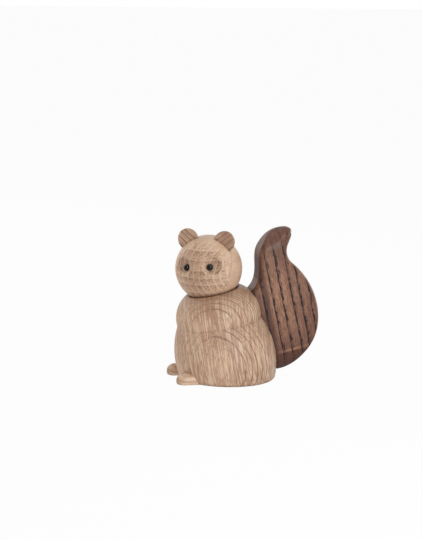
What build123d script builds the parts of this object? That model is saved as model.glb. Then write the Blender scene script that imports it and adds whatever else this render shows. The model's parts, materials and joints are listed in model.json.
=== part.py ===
from build123d import *
from math import cos, radians, sin, sqrt
import os

# Squirrel figurine of turned and sawn wood, in millimetres, facing -Y with +Z up.
# The origin is on the ground, where the leaning axes of its body start.
# Its own left is on +X. The head is stored as it stands, turned towards that side.

# Body, turned from one block: a barrel for the haunches under a round chest
haunch_radius = 30.2
haunch_level = 14.4
haunch_bulge_radius = 48.4
haunch_lean_angle = 15.5
chest_radius = 25.6
chest_level = 39.5
chest_bulge_radius = 17.8
chest_lean_angle = 12.6
chest_low_share = 0.8
chest_high_share = 0.98
haunch_seam_angle = 60.0
chest_seam_angle = 0.0
base_edge_round = 2.9
seat_rim_round = 2.0

# Head, a ball that turns in a dish in the chest
head_radius = 20.0
head_level = 69.0
head_seat_clearance = 0.3
head_turn_angle = 55.0

# Carved eye hollows, placed by angles from straight ahead and from level. The face sits a
# little askew on the ball, its left side higher.
face_tilt_angle = 5.0
hollow_spread_angle = 27.5
hollow_rise_angle = 10.5
hollow_depth = 2.7
hollow_cutter_radius = 10.9
hollow_rim_round = 0.4
hollow_rim_share = 0.8

# Eyes, glossy beads on pins, sunk in the hollows
eye_radius = 2.0
eye_spread_angle = 24.4
eye_rise_angle = 8.8
eye_sink = 1.4
eye_pin_radius = 0.6
eye_pin_length = 6.0

# Ears, oval discs let into the head
ear_half_width = 6.3
ear_half_length = 6.7
ear_thickness = 2.0
ear_front = 5.8
ear_stand_off = 0.6
ear_spread_angle = 33.7
ear_edge_round = 0.3

# Neck dowel, glued in the head and free to turn in the body
neck_dowel_radius = 4.0
neck_head_depth = 14.0
neck_body_depth = 22.0
neck_running_clearance = 0.05

# Feet, round-nosed dowels let into the underside
foot_radius = 4.6
foot_axis_height = 2.3
foot_spread_share = 0.45
foot_length = 18.0
toe_stand_out = 6.6
foot_edge_round = 1.0

# Tail, sawn to an S from the side and to a bar with rounded ends from behind
tail_thickness = 16.5
tail_depth = 41.8
tail_height = 87.4
tail_ground_gap = 4.9
tail_stand_out = 22.0
tail_lean_angle = 16.6
tail_end_depth = 11.6
tail_end_radius = 16.0
tail_end_blunt = 0.8
tail_edge_round = 3.0

# Tail dowels, glued into the body and the tail
tail_dowel_radius = 3.0
tail_dowel_body_depth = 12.0
tail_dowel_tail_depth = 10.0
tail_dowel_upper_level = 42.0
tail_dowel_lower_level = 16.0

# Shared fits and cuts
glue_gap = 0.05
dowel_end_gap = 0.5
dowel_chamfer = 0.6
overrun = 5.0

# Tail outline from the side, as shares of its depth from the front and of its height from
# the lowest point: up the front edge, round the tip, down the back and under to the body.
# The last four points close it inside the body.
tail_outline_shares = [
    (0.012, 0.570),
    (0.053, 0.597),
    (0.099, 0.690),
    (0.107, 0.838),
    (0.150, 0.886),
    (0.252, 0.955),
    (0.441, 0.992),
    (0.583, 0.976),
    (0.571, 0.924),
    (0.511, 0.866),
    (0.550, 0.769),
    (0.622, 0.736),
    (0.842, 0.615),
    (0.952, 0.500),
    (0.999, 0.367),
    (0.952, 0.228),
    (0.810, 0.117),
    (0.636, 0.034),
    (0.509, 0.004),
    (0.375, 0.000),
    (0.182, 0.053),
    (0.002, 0.196),
    (-0.081, 0.367),
    (-0.076, 0.487),
]

os.makedirs("parts", exist_ok=True)


def leaning(angle):
    """The frame of an axis that starts at the origin and leans forward by an angle."""
    return Location((0, 0, 0), (angle, 0, 0))


def arc_radius(level, widest, widest_level, bulge_radius):
    """Radius at a level of a form turned from one arc."""
    return widest - bulge_radius + sqrt(bulge_radius**2 - (level - widest_level) ** 2)


def turned_form(arc, lean, low, high, seam):
    """A form turned from one arc about its leaning axis, flat at both ends."""
    low_radius = arc_radius(low, *arc)
    high_radius = arc_radius(high, *arc)
    side = ThreePointArc((low_radius, 0, low), (arc[0], 0, arc[1]), (high_radius, 0, high))
    ends = Polyline((high_radius, 0, high), (0, 0, high), (0, 0, low), (low_radius, 0, low))
    return leaning(lean) * Rotation(0, 0, seam) * revolve(make_face(side + ends), Axis.Z)


def socket(radius, depth, gap):
    """A round hole of a depth below the local XY plane, with its glue or running gap."""
    bottom = depth + dowel_end_gap
    column = Cylinder(radius + gap, bottom + overrun, align=upright)
    return Pos(0, 0, -bottom) * column


def dowel(radius, inner_length, outer_length):
    """A dowel that passes through the local XY plane, with chamfered ends."""
    rod = Pos(0, 0, -inner_length) * Cylinder(radius, inner_length + outer_length, align=upright)
    return chamfer(rod.edges().filter_by(GeomType.CIRCLE), dowel_chamfer)


def make_body_form():
    """The two turned forms as one, cut flat on the ground, with its lower edge rounded."""
    haunch_high = head_level - head_radius
    haunch = turned_form(
        haunch_arc, haunch_lean_angle, -haunch_level, haunch_high, haunch_seam_angle
    )
    chest_low = chest_level - chest_bulge_radius * chest_low_share
    chest_high = chest_level + chest_bulge_radius * chest_high_share
    chest = turned_form(chest_arc, chest_lean_angle, chest_low, chest_high, chest_seam_angle)
    form = split(haunch + chest, bisect_by=Plane.XY, keep=Keep.TOP)
    base_face = form.faces().sort_by(Axis.Z)[0]
    return fillet(base_face.edges(), base_edge_round)


def make_dished_body(form):
    """The body with the dish that the head turns in, before its holes are drilled."""
    seat = Sphere(head_radius + head_seat_clearance)
    body = form - leaning(chest_lean_angle) * Pos(0, 0, head_level) * seat
    dish_face = body.faces().filter_by(GeomType.SPHERE)[0]
    return fillet(dish_face.edges().sort_by(SortBy.LENGTH)[-1], seat_rim_round)


def make_foot_form(side):
    """A round-nosed dowel that runs back into the body, before it is cut flat below."""
    spread = haunch_radius * foot_spread_share
    toe_centre = foot_radius - haunch_radius - toe_stand_out
    rod = Rotation(-90, 0, 0) * Cylinder(foot_radius, foot_length - foot_radius, align=upright)
    return Pos(side * spread, toe_centre, foot_axis_height) * (rod + Sphere(foot_radius))


def make_foot(side):
    """A foot, cut flat on the ground, with the edge that it stands on softened."""
    foot = split(make_foot_form(side), bisect_by=Plane.XY, keep=Keep.TOP)
    sole = foot.faces().sort_by(Axis.Z)[0]
    return fillet(sole.edges().sort_by(Axis.Y)[:-1], foot_edge_round)


def tail_rear_view(low, high):
    """A bar between two heights along the tail's lean, with both ends rounded by arcs. The
    upper arcs run on from the sides, and the lower ones meet them at a corner."""
    half = tail_thickness / 2
    lower_corner = low + tail_end_depth
    upper_corner = high - tail_end_depth
    return make_face(
        Line((half, lower_corner), (half, upper_corner))
        + TangentArc((half, upper_corner), (0, high), tangent=(0, 1))
        + TangentArc((-half, upper_corner), (0, high), tangent=(0, 1))
        + Line((-half, upper_corner), (-half, lower_corner))
        + RadiusArc((-half, lower_corner), (0, low), -tail_end_radius)
        + RadiusArc((0, low), (half, lower_corner), -tail_end_radius)
    )


def make_tail_blank():
    """The tail sawn to both views and rounded, running on into the space of the body."""
    back = haunch_radius + tail_stand_out
    points = [
        (back - tail_depth * (1 - depth_share), tail_ground_gap + tail_height * height_share)
        for depth_share, height_share in tail_outline_shares
    ]
    side_view = make_face(Spline(*points, periodic=True))
    board = extrude(Plane.YZ.offset(-tail_thickness / 2) * side_view, tail_thickness)
    along = Vector(0, -sin(radians(tail_lean_angle)), cos(radians(tail_lean_angle)))
    heights = [along.dot(Vector(0, *point)) for point in points]
    rear_view = tail_rear_view(min(heights) - tail_end_blunt, max(heights) + tail_end_blunt)
    from_behind = Plane(origin=(0, 0, 0), x_dir=(1, 0, 0), z_dir=Vector(1, 0, 0).cross(along))
    blank = board & extrude(from_behind * rear_view, back + tail_depth, both=True)
    return fillet(blank.edges().filter_by(GeomType.BSPLINE), tail_edge_round)


def aimed(spread, rise, distance):
    """A place on the face at a distance from the head's centre, its local Z pointing out."""
    face = Rotation(0, -face_tilt_angle, 0)
    return face * Rotation(0, 0, spread) * Rotation(90 - rise, 0, 0) * Pos(0, 0, distance)


def make_ball():
    """The head's ball with its two carved eye hollows, about its own centre."""
    ball = Sphere(head_radius)
    cutter = Sphere(hollow_cutter_radius)
    cutter_distance = head_radius - hollow_depth + hollow_cutter_radius
    for side in sides:
        ball -= aimed(side * hollow_spread_angle, hollow_rise_angle, cutter_distance) * cutter
    rims = [
        edge
        for edge in ball.edges().filter_by(GeomType.CIRCLE)
        if edge.radius < hollow_cutter_radius * hollow_rim_share
        and edge.is_closed
    ]
    return fillet(rims, hollow_rim_round)


def make_eye(side, gap):
    """A bead with its pin, swollen by a gap where it stands for the hole that it fits."""
    distance = head_radius - hollow_depth + eye_radius - eye_sink
    pin = Cylinder(eye_pin_radius + gap, eye_pin_length + gap, align=hanging)
    place = aimed(side * eye_spread_angle, eye_rise_angle, distance)
    return place * (Sphere(eye_radius + gap) + pin)


def ear_disc(side, gap):
    """An oval disc across the head, swollen by a gap where it stands for its sawn pocket."""
    oval = Ellipse(ear_half_width + gap, ear_half_length + gap)
    disc = extrude(oval, ear_thickness + 2 * gap)
    lift = Rotation(0, side * ear_spread_angle, 0)
    lift *= Pos(0, -ear_front - gap, head_radius + ear_stand_off)
    return lift * Rotation(-90, 0, 0) * disc


def make_ear(side):
    """An ear with softened edges."""
    disc = ear_disc(side, 0)
    return fillet(disc.edges().filter_by(GeomType.ELLIPSE), ear_edge_round)


# Directions and arcs that several pieces share
upright = (Align.CENTER, Align.CENTER, Align.MIN)
hanging = (Align.CENTER, Align.CENTER, Align.MAX)
sides = {-1: "right", 1: "left"}
haunch_arc = (haunch_radius, haunch_level, haunch_bulge_radius)
chest_arc = (chest_radius, chest_level, chest_bulge_radius)
head_centre = (leaning(chest_lean_angle) * Pos(0, 0, head_level)).position
head_place = Pos(head_centre) * Rotation(0, 0, head_turn_angle)

# Tail dowels cross the body's back square to it
tail_dowel_places = {
    "upper": leaning(chest_lean_angle)
    * Pos(0, arc_radius(tail_dowel_upper_level, *chest_arc), tail_dowel_upper_level)
    * Rotation(-90, 0, 0),
    "lower": leaning(haunch_lean_angle)
    * Pos(0, arc_radius(tail_dowel_lower_level, *haunch_arc), tail_dowel_lower_level)
    * Rotation(-90, 0, 0),
}

# Body, feet and tail
nodes = {}
body_form = make_body_form()
body = make_dished_body(body_form)
tail = make_tail_blank() - body_form
for side, name in sides.items():
    nodes["foot_" + name] = make_foot(side)
    body -= make_foot_form(side)
for name, place in tail_dowel_places.items():
    rod = dowel(tail_dowel_radius, tail_dowel_body_depth, tail_dowel_tail_depth)
    nodes["tail_dowel_" + name] = place * rod
    body -= place * socket(tail_dowel_radius, tail_dowel_body_depth, glue_gap)
    tail_side = Rotation(180, 0, 0)
    tail -= place * tail_side * socket(tail_dowel_radius, tail_dowel_tail_depth, glue_gap)
dish_bottom = Pos(head_centre) * Pos(0, 0, -head_radius - head_seat_clearance)
body -= dish_bottom * socket(neck_dowel_radius, neck_body_depth, neck_running_clearance)
nodes["body"] = body
nodes["tail"] = tail

# Head and what is fixed in it
ball_bottom = Pos(0, 0, -head_radius)
head = make_ball()
head -= ball_bottom * Rotation(180, 0, 0) * socket(neck_dowel_radius, neck_head_depth, glue_gap)
for side, name in sides.items():
    head -= ear_disc(side, glue_gap)
    head -= make_eye(side, glue_gap)
    nodes["ear_" + name] = head_place * make_ear(side)
    nodes["eye_" + name] = head_place * make_eye(side, 0)
neck_below = neck_body_depth + head_seat_clearance
nodes["neck_dowel"] = head_place * ball_bottom * dowel(neck_dowel_radius, neck_below, neck_head_depth)
nodes["head"] = head_place * head

for name, shape in nodes.items():
    export_step(shape, "parts/" + name + ".step")
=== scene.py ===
import json
from math import cos, radians, sin, tan

import bpy
from mathutils import Matrix, Vector


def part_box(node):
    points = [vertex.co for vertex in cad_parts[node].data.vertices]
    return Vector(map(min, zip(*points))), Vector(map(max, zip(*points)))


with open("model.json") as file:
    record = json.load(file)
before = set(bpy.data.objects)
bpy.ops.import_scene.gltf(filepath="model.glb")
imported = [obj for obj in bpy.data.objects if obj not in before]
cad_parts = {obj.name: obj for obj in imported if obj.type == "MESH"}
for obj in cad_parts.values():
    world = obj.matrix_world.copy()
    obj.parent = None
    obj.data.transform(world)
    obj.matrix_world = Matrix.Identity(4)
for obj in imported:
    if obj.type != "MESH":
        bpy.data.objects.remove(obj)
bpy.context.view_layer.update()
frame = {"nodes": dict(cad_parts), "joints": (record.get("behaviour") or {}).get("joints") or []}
nodes = frame["nodes"]
scene = bpy.context.scene
scene.view_settings.view_transform = "Standard"

# Lengths in the frame are in metres, and lengths in the wood are in mm. Bearings are in degrees.
mm_per_metre = 1000.0
quarter_turn = 90
upright = Vector((0, 0, 1))

# Camera: its bearing round the object, its height and slight roll in degrees, and the place
# in the image of the head's centre. Lengths are in metres, and the sensor's size is in mm.
camera_azimuth = 76.5
camera_elevation = 9.5
camera_roll = 1.0
camera_distance = 1.2
camera_near = 0.1
camera_far = 30.0
metres_per_pixel = 0.000597
image_width = 422
image_height = 540
head_pixel = (208.75, 268.0)
sensor_size = 36.0

# Strengths of the studio: its light, its dark side in reflections, how far the floor is white
# to the camera, how far it glows as light, and how bright it is in reflections
studio_light = 0.42
studio_front = 0.12
floor_white = 0.95
floor_glow = 0.45
floor_mirrored = 0.4

# The dark side of the studio begins and is complete at these cosines to the camera's bearing
studio_front_range = (-0.2, 0.7)

# The floor reaches this far from the middle, in metres
floor_reach = 6.0
floor_grey = (0.85, 0.85, 0.85, 1)
white = (1, 1, 1, 1)

# Lamps: bearing and height in degrees, distance, width and height in metres, power in watts,
# and whether the object mirrors them. They face the middle of the object.
lamp_aim = Vector((0.0, 0.01, 0.045))
lamps = {
    "key": (104, 16, 0.7, 0.3, 0.6, 2.6, True),
    "fill": (12, 3, 0.8, 0.5, 0.4, 1.35, False),
    "rim": (-50, 8, 0.8, 0.5, 0.4, 2.3, False),
    "back": (205, 6, 0.5, 0.2, 0.3, 0.45, True),
    "top": (60, 75, 0.7, 0.5, 0.5, 0.6, True),
}

# Directions in degrees: the way the head faces, the spread of the grain in its ears, the
# places of its eye hollows, the lean of the body's and the tail's grain, how far the body's
# grain tips outward, and the bearing where the body's rings come nearest the surface
head_azimuth = 55.0
ear_grain_spread = 52.0
hollow_spread = 27.5
hollow_rise = 15.5
body_lean = 10.0
body_tip = 5.5
tail_lean = 12.5
ring_azimuth = 68.8

# Turning marks in the eye hollows: steps between two distances in mm from the middle, their
# height in depths of a pore, and where they begin in mm in front of the head's centre
hollow_marks = [(3.7, 4.2), (5.2, 6.0)]
hollow_mark_height = 8.0
hollow_front = (0.0, 1.0)

# How dark the painted shade on a hollow's wall is, at shares of its reach from the middle, and
# the range to its outer side over which that painted shade shows. Lengths are in mm.
hollow_reach = 10.0
hollow_wall_shade = [
    (0.0, 0.1), (0.36, 0.2), (0.41, 0.8), (0.46, 0.2), (0.52, 0.25), (0.57, 1.0), (0.63, 0.0)
]
hollow_outer_side = (-1.0, 3.5)

# The leaning plane of the groove between haunch and chest, its level in mm, the range in mm
# over which its line of painted shade fades to each side, how dark that painted shade is, and
# how strongly the painted shade of marks shows
groove_normal = Vector((0.0, -0.154, 0.988))
groove_level = 35.67
groove_line_range = (0.1, 0.6)
groove_shade = 0.3
mark_shade_strength = 0.4

# The dark band of a ring is darkest at the share band_peak of its line, is still as dark as
# band_end at the line's end, and is gone within the share band_share of the ring. The ring's
# tone holds over the share tone_share of it.
band_peak = 0.3
band_end = 0.75
band_share = 0.8
tone_share = 0.5

# How softly pores, streaks and gaps in the rays begin, over their level in the noise
pore_blur = 0.1
streak_blur = 0.12
gap_blur = 0.14

# Noise swings about its middle. Patches and fibres change and rings come out over its ranges.
noise_middle = 0.5
patch_range = (0.34, 0.66)
fine_range = (0.3, 0.7)
faint_range = (0.3, 0.7)

# Ranges of the end grain over which pores and rays come into full view
pore_face = (0.35, 0.75)
ray_face = (0.3, 0.6)

# Thin rays between the broad ones, as shares of their spacing and width, and how unevenly
# rays stand
thin_spacing = 0.28
thin_width = 0.5
ray_unevenness = 0.7

# Ramps up the grain run over this length in mm
ramp_length = 100.0

# Painted shade darkens creases as the open share of their surroundings falls through
# crease_open, and comes in over the heights in mm of crease_lift
crease_open = (0.45, 0.97)
crease_lift = (4.0, 9.0)
crease_samples = 8

# Relief of the surface: pores are pits, finer fibres stand up, and the whole has a depth in
# metres. Pores are rougher than the rest.
pore_relief = -1.0
fine_relief = 0.4
relief_depth = 0.00015
pore_roughness = 0.2

# Scuffs in the gloss of the beads, a noise with its scale per metre
scuff_noise = ((1.0, 1.0, 1.0), 900.0, 4.0, 0.6)
scuff_colour_range = (0.4, 0.7)
scuff_gloss_range = (0.3, 0.8)
bead_roughness = (0.03, 0.1)

head_centre = Vector(frame["joints"][0]["pos_m"])


def heading(azimuth, elevation=0.0):
    """The direction at a bearing, where 0 is straight ahead of the body, and a height."""
    a, e = radians(azimuth), radians(elevation)
    return Vector((sin(a) * cos(e), -cos(a) * cos(e), sin(e)))


def make_camera():
    """The camera, aimed so that the head's centre falls on its place in the image."""
    roll = radians(camera_roll)
    back = heading(camera_azimuth, camera_elevation)
    right = heading(camera_azimuth + quarter_turn)
    up = back.cross(right)
    right, up = right * cos(roll) + up * sin(roll), up * cos(roll) - right * sin(roll)
    aside = (head_pixel[0] - image_width / 2) * metres_per_pixel
    above = (image_height / 2 - head_pixel[1]) * metres_per_pixel
    place = head_centre - right * aside - up * above + back * camera_distance
    data = bpy.data.cameras.new("camera")
    data.sensor_width = sensor_size
    data.lens = sensor_size * camera_distance / metres_per_pixel / image_height
    data.clip_start, data.clip_end = camera_near, camera_far
    camera = bpy.data.objects.new("camera", data)
    turn = Matrix((right, up, back)).transposed().to_4x4()
    camera.matrix_world = Matrix.Translation(place) @ turn
    scene.collection.objects.link(camera)
    scene.camera = camera


def make_lamp(name, azimuth, elevation, distance, width, height, power, mirrored):
    """A rectangular lamp that faces the middle of the object."""
    toward = heading(azimuth, elevation)
    data = bpy.data.lights.new(name, "AREA")
    data.shape = "RECTANGLE"
    data.size, data.size_y = width, height
    data.energy = power
    lamp = bpy.data.objects.new(name, data)
    lamp.location = lamp_aim + toward * distance
    lamp.rotation_mode = "QUATERNION"
    lamp.rotation_quaternion = toward.to_track_quat("Z", "Y")
    lamp.visible_glossy = mirrored
    scene.collection.objects.link(lamp)


class Graph:
    """Short calls that add and join the nodes of one material or world."""

    def __init__(self, owner):
        owner.use_nodes = True
        self.tree = owner.node_tree
        self.tree.nodes.clear()

    def put(self, socket, value):
        if isinstance(value, bpy.types.NodeSocket):
            self.tree.links.new(value, socket)
        else:
            socket.default_value = value

    def add(self, kind, inputs=None, **settings):
        node = self.tree.nodes.new(kind)
        for key, value in settings.items():
            setattr(node, key, value)
        for key, value in (inputs or {}).items():
            self.put(node.inputs[key], value)
        return node

    def math(self, operation, *values):
        node = self.add("ShaderNodeMath", dict(enumerate(values)), operation=operation)
        return node.outputs[0]

    def vector(self, operation, *values):
        node = self.add("ShaderNodeVectorMath", dict(enumerate(values)), operation=operation)
        return node.outputs["Value" if operation in ("DOT_PRODUCT", "LENGTH") else "Vector"]

    def along(self, place, axis):
        """How far a place lies along an axis, in mm."""
        return self.vector("DOT_PRODUCT", place, tuple(axis * mm_per_metre))

    def object_place(self, origin=(0.0, 0.0, 0.0)):
        """The place on the object, in metres from a point."""
        place = self.add("ShaderNodeTexCoord").outputs["Object"]
        return self.vector("SUBTRACT", place, tuple(origin))

    def noise(self, place, form):
        """A noise given by how far each coordinate counts, its scale, detail and roughness."""
        stretch, scale, detail, roughness = form
        values = {
            "Vector": self.vector("MULTIPLY", place, stretch),
            "Scale": scale,
            "Detail": detail,
            "Roughness": roughness,
        }
        return self.add("ShaderNodeTexNoise", values).outputs[0]

    def sheets(self, place, spacing, half_width):
        """Thin sheets at uneven places along a coordinate: 1 in their middle, a half at their
        half width, and 0 outside."""
        values = {
            "W": self.math("DIVIDE", place, spacing),
            "Scale": 1.0,
            "Randomness": ray_unevenness,
        }
        node = self.add(
            "ShaderNodeTexVoronoi", values, voronoi_dimensions="1D", feature="DISTANCE_TO_EDGE"
        )
        return self.range(node.outputs["Distance"], 0.0, half_width / spacing * 2, 1.0, 0.0)

    def range(self, value, low, high, to_low=0.0, to_high=1.0, smooth=True):
        node = self.add(
            "ShaderNodeMapRange",
            {0: value, 1: low, 2: high, 3: to_low, 4: to_high},
            interpolation_type="SMOOTHSTEP" if smooth else "LINEAR",
        )
        return node.outputs[0]

    def between(self, share, first, second):
        """A value that goes evenly from one to another with a share."""
        return self.range(share, 0.0, 1.0, first, second, smooth=False)

    def ramp(self, value, stops):
        """A grey level for each place along a value from 0 to 1. New stops start in the middle
        and are then set."""
        node = self.add("ShaderNodeValToRGB", {0: value})
        elements = node.color_ramp.elements
        while len(elements) < len(stops):
            elements.new(0.5)
        for element, (place, level) in zip(elements, stops):
            element.position = place
            element.color = (level, level, level, 1)
        return node.outputs[0]

    def mix(self, share, first, second, blend="MIX"):
        node = self.add(
            "ShaderNodeMix", {0: share, 6: first, 7: second}, data_type="RGBA", blend_type=blend
        )
        return node.outputs[2]

    def output(self, kind, shader):
        self.add(kind, {"Surface": shader.outputs[0]})


def linear(red, green, blue):
    """A colour given as display values from 0 to 255, on the curve of sRGB."""
    def channel(value):
        value /= 255
        return value / 12.92 if value <= 0.04045 else ((value + 0.055) / 1.055) ** 2.4
    return (channel(red), channel(green), channel(blue), 1)


class Place:
    """Where the surface lies in the wood: mm across the rays, out through the rings and up the
    grain, the three as one vector, and how far it is end grain or lies flat along the rings."""

    def __init__(self, g, along, outward, origin):
        along = along.normalized()
        outward = (outward - along * outward.dot(along)).normalized()
        across = outward.cross(along)
        place = g.object_place(origin)
        axes = [g.along(place, axis) for axis in (across, outward, along)]
        self.across, self.outward, self.along = axes
        self.vector = g.add("ShaderNodeCombineXYZ", dict(enumerate(axes))).outputs[0]
        normal = g.add("ShaderNodeTexCoord").outputs["Normal"]
        self.end_grain, self.flat_grain = [
            g.math("ABSOLUTE", g.vector("DOT_PRODUCT", normal, tuple(axis)))
            for axis in (along, outward)
        ]


def turning_marks_and_shade(g):
    """Steps left by the cutter in the eye hollows, as a height, and painted shade that darkens
    the outer walls of the hollows."""
    place = g.object_place(head_centre)
    height, wall = 0.0, 0.0
    for sign in (1, -1):
        bearing = head_azimuth + sign * hollow_spread
        axis, outer = heading(bearing, hollow_rise), heading(bearing + sign * quarter_turn)
        aside = g.vector("CROSS_PRODUCT", place, tuple(axis * mm_per_metre))
        beside = g.vector("LENGTH", aside)
        front = g.range(g.along(place, axis), *hollow_front)
        for low, high in hollow_marks:
            step = g.math("MULTIPLY", g.range(beside, low, high), front)
            height = g.math("MULTIPLY_ADD", step, hollow_mark_height, height)
        # Painted shade: dark crescents on the outer wall of each hollow
        ring = g.ramp(g.math("DIVIDE", beside, hollow_reach), hollow_wall_shade)
        outer_side = g.range(g.along(place, outer), *hollow_outer_side)
        dark = g.math("MULTIPLY", g.math("MULTIPLY", ring, outer_side), front)
        wall = g.math("MAXIMUM", wall, dark)
    return height, wall


def painted_groove_shade(g):
    """No height, and painted shade as a darker line in the groove where the haunch and the chest
    meet.
    """
    level = g.along(g.object_place(), groove_normal)
    off = g.math("ABSOLUTE", g.math("SUBTRACT", level, groove_level))
    return 0.0, g.range(off, *groove_line_range, groove_shade, 0.0)


def ring_stops(look):
    """Stops of three ramps over a repeated run of rings: the dark band, the pale edge and the
    tone of each ring."""
    widths, span = look["ring_widths"], sum(look["ring_widths"])
    line, edge = look["ring_line"], look["edge_width"]
    band, pale_edge, tones = [], [], []
    start = 0.0
    for width, tone in zip(widths, look["ring_tones"]):
        fall = min(look["ring_fall"], width * band_share)
        band += [(start, 0.0), (start + line * band_peak, 1.0)]
        band += [(start + line, band_end), (start + fall, 0.0)]
        pale_edge += [(start, 1.0), (start + edge, 0.0), (start + width - edge, 0.0)]
        tones += [(start, tone), (start + width * tone_share, tone)]
        start += width
    return [
        [(place / span, level) for place, level in stops] for stops in (band, pale_edge, tones)
    ]


def grow_rings(g, at, look):
    """Growth rings about a pith behind the piece, in a run of widths that repeats: the dark
    band, the pale edge and the tone of each."""
    bent = at.outward
    for name in ("bend", "wobble"):
        swing = g.math("SUBTRACT", g.noise(at.vector, look[name + "_noise"]), noise_middle)
        bent = g.math("MULTIPLY_ADD", swing, look[name], bent)
    depth = g.math("ADD", bent, look["pith_depth"])
    squares = [g.math("MULTIPLY", length, length) for length in (depth, at.across)]
    radius = g.math("SQRT", g.math("ADD", *squares))
    turn = g.math("SUBTRACT", radius, look["pith_depth"] + look["first_ring"])
    turn = g.math("FRACT", g.math("DIVIDE", turn, sum(look["ring_widths"])))
    band, pale_edge, tone = [g.ramp(turn, stops) for stops in ring_stops(look)]

    # Rings fade to one side, off the end grain, where they lie flat, and up the grain
    clear = g.range(at.across, *look["side_fade"])
    clear = g.math("MULTIPLY", clear, g.range(at.end_grain, *look["face_fade"]))
    clear = g.math("MULTIPLY", clear, g.range(at.flat_grain, *look["flat_fade"]))
    height = g.math("DIVIDE", at.along, ramp_length)
    clear = g.math("MULTIPLY", clear, g.ramp(height, look["line_along"]))
    return g.math("MULTIPLY", band, clear), g.math("MULTIPLY", pale_edge, clear), tone


def grow_pores(g, at, look, band):
    """Pores, long cells that crowd in the early part of each ring."""
    cells = g.noise(at.vector, look["pore_noise"])
    crowded = g.math("MULTIPLY_ADD", band, look["pore_crowding"], cells)
    pores = g.range(crowded, look["pore_level"], look["pore_level"] + pore_blur)
    return g.math("MULTIPLY", pores, g.range(at.end_grain, *pore_face, look["side_pores"], 1.0))


def grow_rays(g, at, look, gaps):
    """Rays, thin sheets that run out through the rings and up the grain."""
    spacing, half_width = look["ray_spacing"], look["ray_half_width"]
    sway = g.noise(at.vector, look["sway_noise"])
    sheet = g.math("MULTIPLY_ADD", sway, look["ray_sway"], at.across)
    square = g.math("MULTIPLY", at.outward, at.outward)
    sheet = g.math("MULTIPLY_ADD", square, look["ray_bow"], sheet)
    broken = g.range(gaps, look["ray_gaps"], look["ray_gaps"] + gap_blur)
    rays = g.math("MULTIPLY", g.sheets(sheet, spacing, half_width), broken)
    thin_rays = g.sheets(sheet, spacing * thin_spacing, half_width * thin_width)
    rays = g.math("MAXIMUM", rays, g.math("MULTIPLY", thin_rays, look["thin_ray_share"]))
    return g.math("MULTIPLY", rays, g.range(at.end_grain, *ray_face, look["side_rays"], 1.0))


def make_wood(name, along, outward, origin, look, marks=None):
    """Ring-porous wood: rings, pores, fibres and rays as solid forms in the piece's block."""
    material = bpy.data.materials.new(name)
    g = Graph(material)
    at = Place(g, along, outward, origin)

    def weighed(value, layer):
        return g.math("MULTIPLY", value, look[layer + "_strength"])

    gaps = g.noise(at.vector, look["gap_noise"])
    band, pale_edge, tone = grow_rings(g, at, look)
    pores = grow_pores(g, at, look, band)
    rays = grow_rays(g, at, look, gaps)

    # Fibres, pale streaks up the grain, and a finer grain under them
    streaks = g.noise(at.vector, look["streak_noise"])
    streaks = g.range(streaks, look["streak_level"], look["streak_level"] + streak_blur)
    fine = g.noise(at.vector, look["fine_noise"])
    dark_fibres = g.range(fine, *fine_range, 1.0, 0.0)

    # Colours, from the ground of the wood up, with a painted highlight where the tone up the
    # grain sets one, and darker to the eye on end grain
    toned = g.ramp(g.math("DIVIDE", at.along, ramp_length), look["tone_and_highlight_along"])
    toned = g.math("MAXIMUM", weighed(tone, "tone"), toned)
    shade = g.math("MULTIPLY", band, g.range(gaps, *faint_range, look["ring_faint"], 1.0))
    patches = g.range(g.noise(at.vector, look["patch_noise"]), *patch_range)
    colour = g.mix(patches, look["pale"], look["warm"])
    layers = [
        (weighed(streaks, "streak"), "streak_colour"),
        (toned, "tone_colour"),
        (weighed(dark_fibres, "fine"), "fine_colour"),
        (weighed(shade, "ring"), "ring_colour"),
        (weighed(pores, "pore"), "pore_colour"),
        (weighed(pale_edge, "edge"), "ray_colour"),
        (weighed(rays, "ray"), "ray_colour"),
    ]
    for share, tint in layers:
        colour = g.mix(share, colour, look[tint])
    end_share = weighed(g.math("POWER", at.end_grain, look["end_power"]), "end")
    colour = g.mix(end_share, colour, look["end_colour"], "MULTIPLY")

    # Painted shade in creases, where pieces and forms meet and little of the surroundings is
    # open, clear of the floor
    occlusion = g.add(
        "ShaderNodeAmbientOcclusion", {"Distance": look["crease_shade_reach"]}, samples=crease_samples
    )
    crease = g.range(occlusion.outputs["AO"], *crease_open, look["crease_shade_strength"], 0.0)
    lift = g.range(g.along(g.object_place(), upright), *crease_lift)
    crease = g.math("MULTIPLY", crease, lift)
    colour = g.mix(crease, colour, look["painted_shade_colour"], "MULTIPLY")

    height = g.math("MULTIPLY_ADD", pores, pore_relief, g.math("MULTIPLY", fine, fine_relief))
    # Marks add relief and painted shade: the line in the groove and the dark walls of the eye
    # hollows
    if marks:
        marked, dark = marks(g)
        height = g.math("ADD", height, marked)
        dark = g.math("MULTIPLY", dark, mark_shade_strength)
        colour = g.mix(dark, colour, look["painted_shade_colour"], "MULTIPLY")
    relief = {"Height": height, "Strength": look["bump"], "Distance": relief_depth}
    bump = g.add("ShaderNodeBump", relief)
    smooth, rough = look["roughness"], look["roughness"] + pore_roughness
    values = {
        "Base Color": colour,
        "Roughness": g.between(pores, smooth, rough),
        "Normal": bump.outputs[0],
        "Specular IOR Level": look["specular"],
        "Coat Weight": look["coat"],
        "Coat Roughness": look["coat_roughness"],
    }
    g.output("ShaderNodeOutputMaterial", g.add("ShaderNodeBsdfPrincipled", values))
    return material


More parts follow.
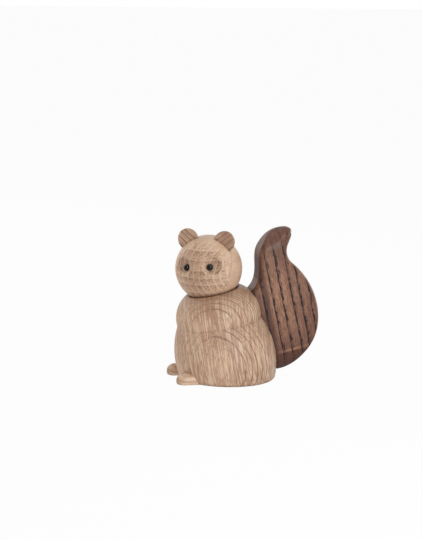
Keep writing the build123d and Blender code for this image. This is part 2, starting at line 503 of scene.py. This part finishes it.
# Looks of the woods. Lengths are in mm. A noise is given by how far it counts across the rays,
# out through the rings and up the grain, its scale per mm, detail and roughness. A fade is
# given by a range and the strength at each end of it.
no_fade = (0.0, 1.0, 1.0, 1.0)
light_oak = {
    "bend_noise": ((1.0, 1.0, 0.3), 0.03, 2.0, 0.5),
    "bend": 2.0,
    "wobble_noise": ((1.0, 1.0, 0.25), 0.22, 2.0, 0.6),
    "wobble": 1.0,
    "pith_depth": 198.0,
    "first_ring": 14.3,
    "ring_widths": [2.6, 2.7, 2.4, 2.2, 2.1, 1.8, 1.4],
    "ring_line": 0.35,
    "ring_fall": 0.6,
    "ring_faint": 0.35,
    "ring_strength": 1.0,
    "ring_colour": linear(112, 72, 55),
    "side_fade": (-6.0, 8.0, 1.0, 0.4),
    "face_fade": no_fade,
    "flat_fade": (0.9, 0.97, 1.0, 0.05),
    "line_along": [(0.0, 1.0), (1.0, 1.0)],
    "ring_tones": [0.2, 0.5, 0.3, 0.6, 0.2, 0.4, 0.3],
    "tone_and_highlight_along": [(0.0, 0.0), (1.0, 0.0)],
    "tone_strength": 0.08,
    "tone_colour": linear(172, 138, 113),
    "edge_width": 0.3,
    "edge_strength": 0.0,
    "pore_noise": ((1.0, 1.0, 0.06), 1.8, 1.5, 0.6),
    "pore_crowding": 0.1,
    "pore_level": 0.54,
    "pore_strength": 0.65,
    "pore_colour": linear(142, 104, 83),
    "side_pores": 1.0,
    "streak_noise": ((1.0, 0.05, 0.04), 1.25, 1.5, 0.5),
    "streak_level": 0.46,
    "streak_strength": 1.0,
    "streak_colour": linear(223, 193, 164),
    "fine_noise": ((1.0, 1.0, 0.16), 2.6, 3.0, 0.65),
    "fine_strength": 0.3,
    "fine_colour": linear(150, 114, 92),
    "sway_noise": ((0.6, 0.4, 1.0), 0.12, 2.0, 0.5),
    "gap_noise": ((0.7, 0.5, 0.4), 0.35, 2.0, 0.5),
    "ray_sway": 2.0,
    "ray_bow": 0.0,
    "ray_spacing": 4.0,
    "ray_half_width": 0.2,
    "ray_gaps": 0.5,
    "thin_ray_share": 0.25,
    "side_rays": 1.0,
    "ray_strength": 0.35,
    "ray_colour": linear(216, 190, 162),
    "patch_noise": ((1.0, 1.0, 0.35), 0.1, 2.0, 0.55),
    "pale": linear(200, 165, 136),
    "warm": linear(182, 145, 116),
    # Painted shade in creases, and in the groove and the eye hollows
    "crease_shade_reach": 0.002,
    "crease_shade_strength": 0.45,
    "painted_shade_colour": linear(150, 105, 80),
    "end_power": 1.5,
    "end_strength": 1.0,
    "end_colour": linear(205, 193, 184),
    "bump": 0.3,
    "roughness": 0.42,
    "specular": 0.5,
    "coat": 0.18,
    "coat_roughness": 0.3,
}

# The head shows end grain in front, with its rings level and its rays upright
head_oak = {
    **light_oak,
    "bend": 1.0,
    "wobble": 0.5,
    "pith_depth": 150.0,
    "first_ring": -16.6,
    "ring_widths": [4.1, 5.4, 5.7, 4.5],
    "ring_line": 1.2,
    "ring_fall": 4.0,
    "ring_faint": 0.3,
    "ring_strength": 0.45,
    "ring_colour": linear(160, 116, 94),
    "side_fade": no_fade,
    "face_fade": (0.4, 0.8, 0.0, 1.0),
    "flat_fade": no_fade,
    "ring_tones": [0.3, 0.6, 0.9, 0.4],
    "edge_width": 0.35,
    "edge_strength": 0.8,
    "pore_noise": ((1.0, 1.0, 0.09), 1.4, 1.5, 0.6),
    "pore_level": 0.53,
    "pore_strength": 0.75,
    "side_pores": 0.25,
    "fine_strength": 0.25,
    "streak_strength": 0.2,
    "sway_noise": ((0.6, 0.4, 1.0), 0.15, 2.0, 0.5),
    "ray_sway": 1.5,
    "ray_bow": 0.022,
    "ray_spacing": 3.7,
    "ray_half_width": 0.3,
    "ray_gaps": 0.3,
    "thin_ray_share": 0.15,
    "side_rays": 0.2,
    "ray_strength": 0.85,
    "ray_colour": linear(226, 200, 172),
    "pale": linear(224, 192, 162),
    "warm": linear(208, 172, 144),
    "end_power": 3.0,
    "end_strength": 0.75,
}

# The ears are browner, with dark lines up their grain
ear_oak = {
    **light_oak,
    "bend": 0.5,
    "wobble": 0.3,
    "pith_depth": 200.0,
    "first_ring": 1.0,
    "ring_widths": [2.9, 3.4, 2.5],
    "ring_line": 0.55,
    "ring_fall": 1.0,
    "ring_faint": 0.6,
    "ring_colour": linear(92, 60, 46),
    "side_fade": no_fade,
    "flat_fade": no_fade,
    "ring_tones": [0.2, 0.5, 0.3],
    "pore_strength": 0.8,
    "streak_strength": 0.4,
    "fine_strength": 0.7,
    "pale": linear(182, 147, 120),
    "warm": linear(162, 126, 102),
    "end_strength": 0.0,
}

# The feet are dowels cut near the pith, with painted light: their colours are paler than the
# body's to lift the shade they stand in
foot_oak = {
    **light_oak,
    "pith_depth": 12.0,
    "ring_line": 0.7,
    "ring_fall": 1.3,
    "ring_strength": 0.4,
    "ring_colour": linear(150, 110, 88),
    "side_fade": no_fade,
    "flat_fade": no_fade,
    "pore_strength": 0.35,
    # Paler colours as painted light
    "pale": linear(228, 198, 168),
    "warm": linear(212, 180, 150),
    "end_power": 3.0,
}

# The tail is smoked, with broad dark lines of pores, darker towards its foot, and a painted
# highlight as a pale line across its foot
dark_oak = {
    **light_oak,
    "bend": 1.0,
    "wobble": 0.8,
    "pith_depth": 260.0,
    "first_ring": 27.0,
    "ring_widths": [5.7, 5.7, 6.0, 5.1, 5.7, 5.7],
    "ring_line": 0.9,
    "ring_fall": 2.6,
    "ring_faint": 0.5,
    "ring_strength": 0.75,
    "ring_colour": linear(62, 34, 28),
    "side_fade": no_fade,
    "flat_fade": (0.5, 0.95, 1.0, 0.0),
    "line_along": [(0.0, 0.5), (0.1, 1.0), (0.68, 1.0), (0.8, 0.35), (1.0, 0.35)],
    "ring_tones": [0.85, 0.05, 0.0, 0.3, 0.45, 0.5],
    # Tone up the grain: darker towards the foot, a painted highlight as a pale line across the
    # foot, and darker again towards the tip
    "tone_and_highlight_along": [
        (0.0, 0.9), (0.088, 0.8), (0.094, 0.0), (0.101, 0.0), (0.11, 0.6), (0.22, 0.35),
        (0.42, 0.0), (0.54, 0.15), (0.66, 0.45), (0.74, 0.65), (0.8, 0.6), (0.9, 0.4)
    ],
    "tone_strength": 1.0,
    "tone_colour": linear(78, 44, 35),
    "pore_noise": ((1.0, 1.0, 0.3), 0.9, 1.5, 0.6),
    "pore_crowding": 0.36,
    "pore_level": 0.7,
    "pore_strength": 0.95,
    "pore_colour": linear(32, 19, 17),
    "streak_noise": ((0.2, 1.0, 0.04), 1.25, 1.5, 0.5),
    "streak_strength": 0.6,
    "streak_colour": linear(188, 142, 110),
    "fine_strength": 0.75,
    "fine_colour": linear(74, 42, 34),
    "thin_ray_share": 0.1,
    "ray_strength": 0.04,
    "ray_colour": linear(150, 115, 95),
    "pale": linear(196, 146, 114),
    "warm": linear(160, 110, 86),
    # Broader and darker painted shade where the tail meets the body
    "crease_shade_reach": 0.006,
    "crease_shade_strength": 0.8,
    "end_power": 2.0,
    "end_strength": 0.6,
    "end_colour": linear(182, 168, 168),
    "roughness": 0.45,
    "specular": 0.22,
    "coat": 0.3,
}

dowel_beech = {**light_oak, "ring_strength": 0.15, "pore_strength": 0.2}


# Colours of the glass of the beads, clean and scuffed
bead_clean = linear(6, 5, 7)
bead_scuffed = linear(14, 12, 14)


def make_bead():
    """Polished black glass, with faint scuffs in its gloss."""
    material = bpy.data.materials.new("bead")
    g = Graph(material)
    scuffs = g.noise(g.object_place(), scuff_noise)
    pale = g.range(scuffs, *scuff_colour_range)
    values = {
        "Base Color": g.mix(pale, bead_clean, bead_scuffed),
        "Roughness": g.range(scuffs, *scuff_gloss_range, *bead_roughness),
    }
    g.output("ShaderNodeOutputMaterial", g.add("ShaderNodeBsdfPrincipled", values))
    return material


def dress_nodes():
    """Each piece gets its own block of wood, with the grain running as it is cut."""
    middle = (0.0, 0.0, 0.0)
    body_outward = heading(ring_azimuth)
    body_grain = upright + body_outward * tan(radians(body_tip))
    body_grain -= heading(ring_azimuth + quarter_turn) * tan(radians(body_lean))
    backward = -heading(0)
    tail_grain = upright * cos(radians(tail_lean)) - backward * sin(radians(tail_lean))
    face = heading(head_azimuth)
    materials = {
        "body": make_wood("oak_body", body_grain, body_outward, middle, light_oak, painted_groove_shade),
        "head": make_wood("oak_head", face, -upright, head_centre, head_oak, turning_marks_and_shade),
        "tail": make_wood("smoked_oak_tail", tail_grain, backward, middle, dark_oak),
    }
    spread = radians(ear_grain_spread)
    for side, sign in (("left", 1), ("right", -1)):
        ear, foot = "ear_" + side, "foot_" + side
        sideways = heading(head_azimuth + quarter_turn) * sign
        ear_grain = sideways * sin(spread) + upright * cos(spread)
        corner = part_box("foot_" + side)[0]
        materials[ear] = make_wood("oak_" + ear, ear_grain, sideways, head_centre, ear_oak)
        materials[foot] = make_wood("oak_" + foot, backward, upright, corner, foot_oak)
    bead = make_bead()
    beech = make_wood("beech_dowel", upright, heading(0), middle, dowel_beech)
    for name, node in nodes.items():
        material = bead if name.startswith("eye") else materials.get(name, beech)
        for slot in node.material_slots:
            slot.material = material
        for polygon in node.data.polygons:
            polygon.use_smooth = True


def make_floor():
    """A plain white floor that keeps the object's shadow."""
    mesh = bpy.data.meshes.new("floor")
    low, high = -floor_reach, floor_reach
    corners = [(low, low, 0), (high, low, 0), (high, high, 0), (low, high, 0)]
    mesh.from_pydata(corners, [], [(0, 1, 2, 3)])
    floor = bpy.data.objects.new("floor", mesh)
    scene.collection.objects.link(floor)
    material = bpy.data.materials.new("floor")
    g = Graph(material)
    path = g.add("ShaderNodeLightPath").outputs
    mirrored = g.math("MAXIMUM", path["Is Glossy Ray"], path["Is Transmission Ray"])
    seen = g.math("MAXIMUM", path["Is Camera Ray"], mirrored)
    strength = g.between(mirrored, 1.0, floor_mirrored)
    matt = g.add("ShaderNodeBsdfDiffuse", {"Color": floor_grey})
    glow = g.add("ShaderNodeEmission", {"Color": white, "Strength": strength})
    share = g.between(seen, floor_glow, floor_white)
    both = g.add("ShaderNodeMixShader", {0: share, 1: matt.outputs[0], 2: glow.outputs[0]})
    g.output("ShaderNodeOutputMaterial", both)
    floor.data.materials.append(material)


def make_world():
    """A pale studio: white to the camera, softer as light, with its dark side, where the
    photographer stands, in reflections."""
    world = bpy.data.worlds.new("studio")
    scene.world = world
    g = Graph(world)
    path = g.add("ShaderNodeLightPath").outputs
    seen = g.math("MAXIMUM", path["Is Camera Ray"], path["Is Glossy Ray"])
    seen = g.math("MAXIMUM", seen, path["Is Transmission Ray"])
    toward = g.add("ShaderNodeTexCoord").outputs["Generated"]
    front = g.vector("DOT_PRODUCT", toward, tuple(heading(camera_azimuth)))
    mirrored = g.range(front, *studio_front_range, 1.0, studio_front)
    strength = g.between(seen, studio_light, g.between(path["Is Camera Ray"], mirrored, 1.0))
    background = g.add("ShaderNodeBackground", {"Color": white, "Strength": strength})
    g.output("ShaderNodeOutputWorld", background)


make_camera()
make_floor()
make_world()
dress_nodes()
for lamp_name, settings in lamps.items():
    make_lamp(lamp_name, *settings)
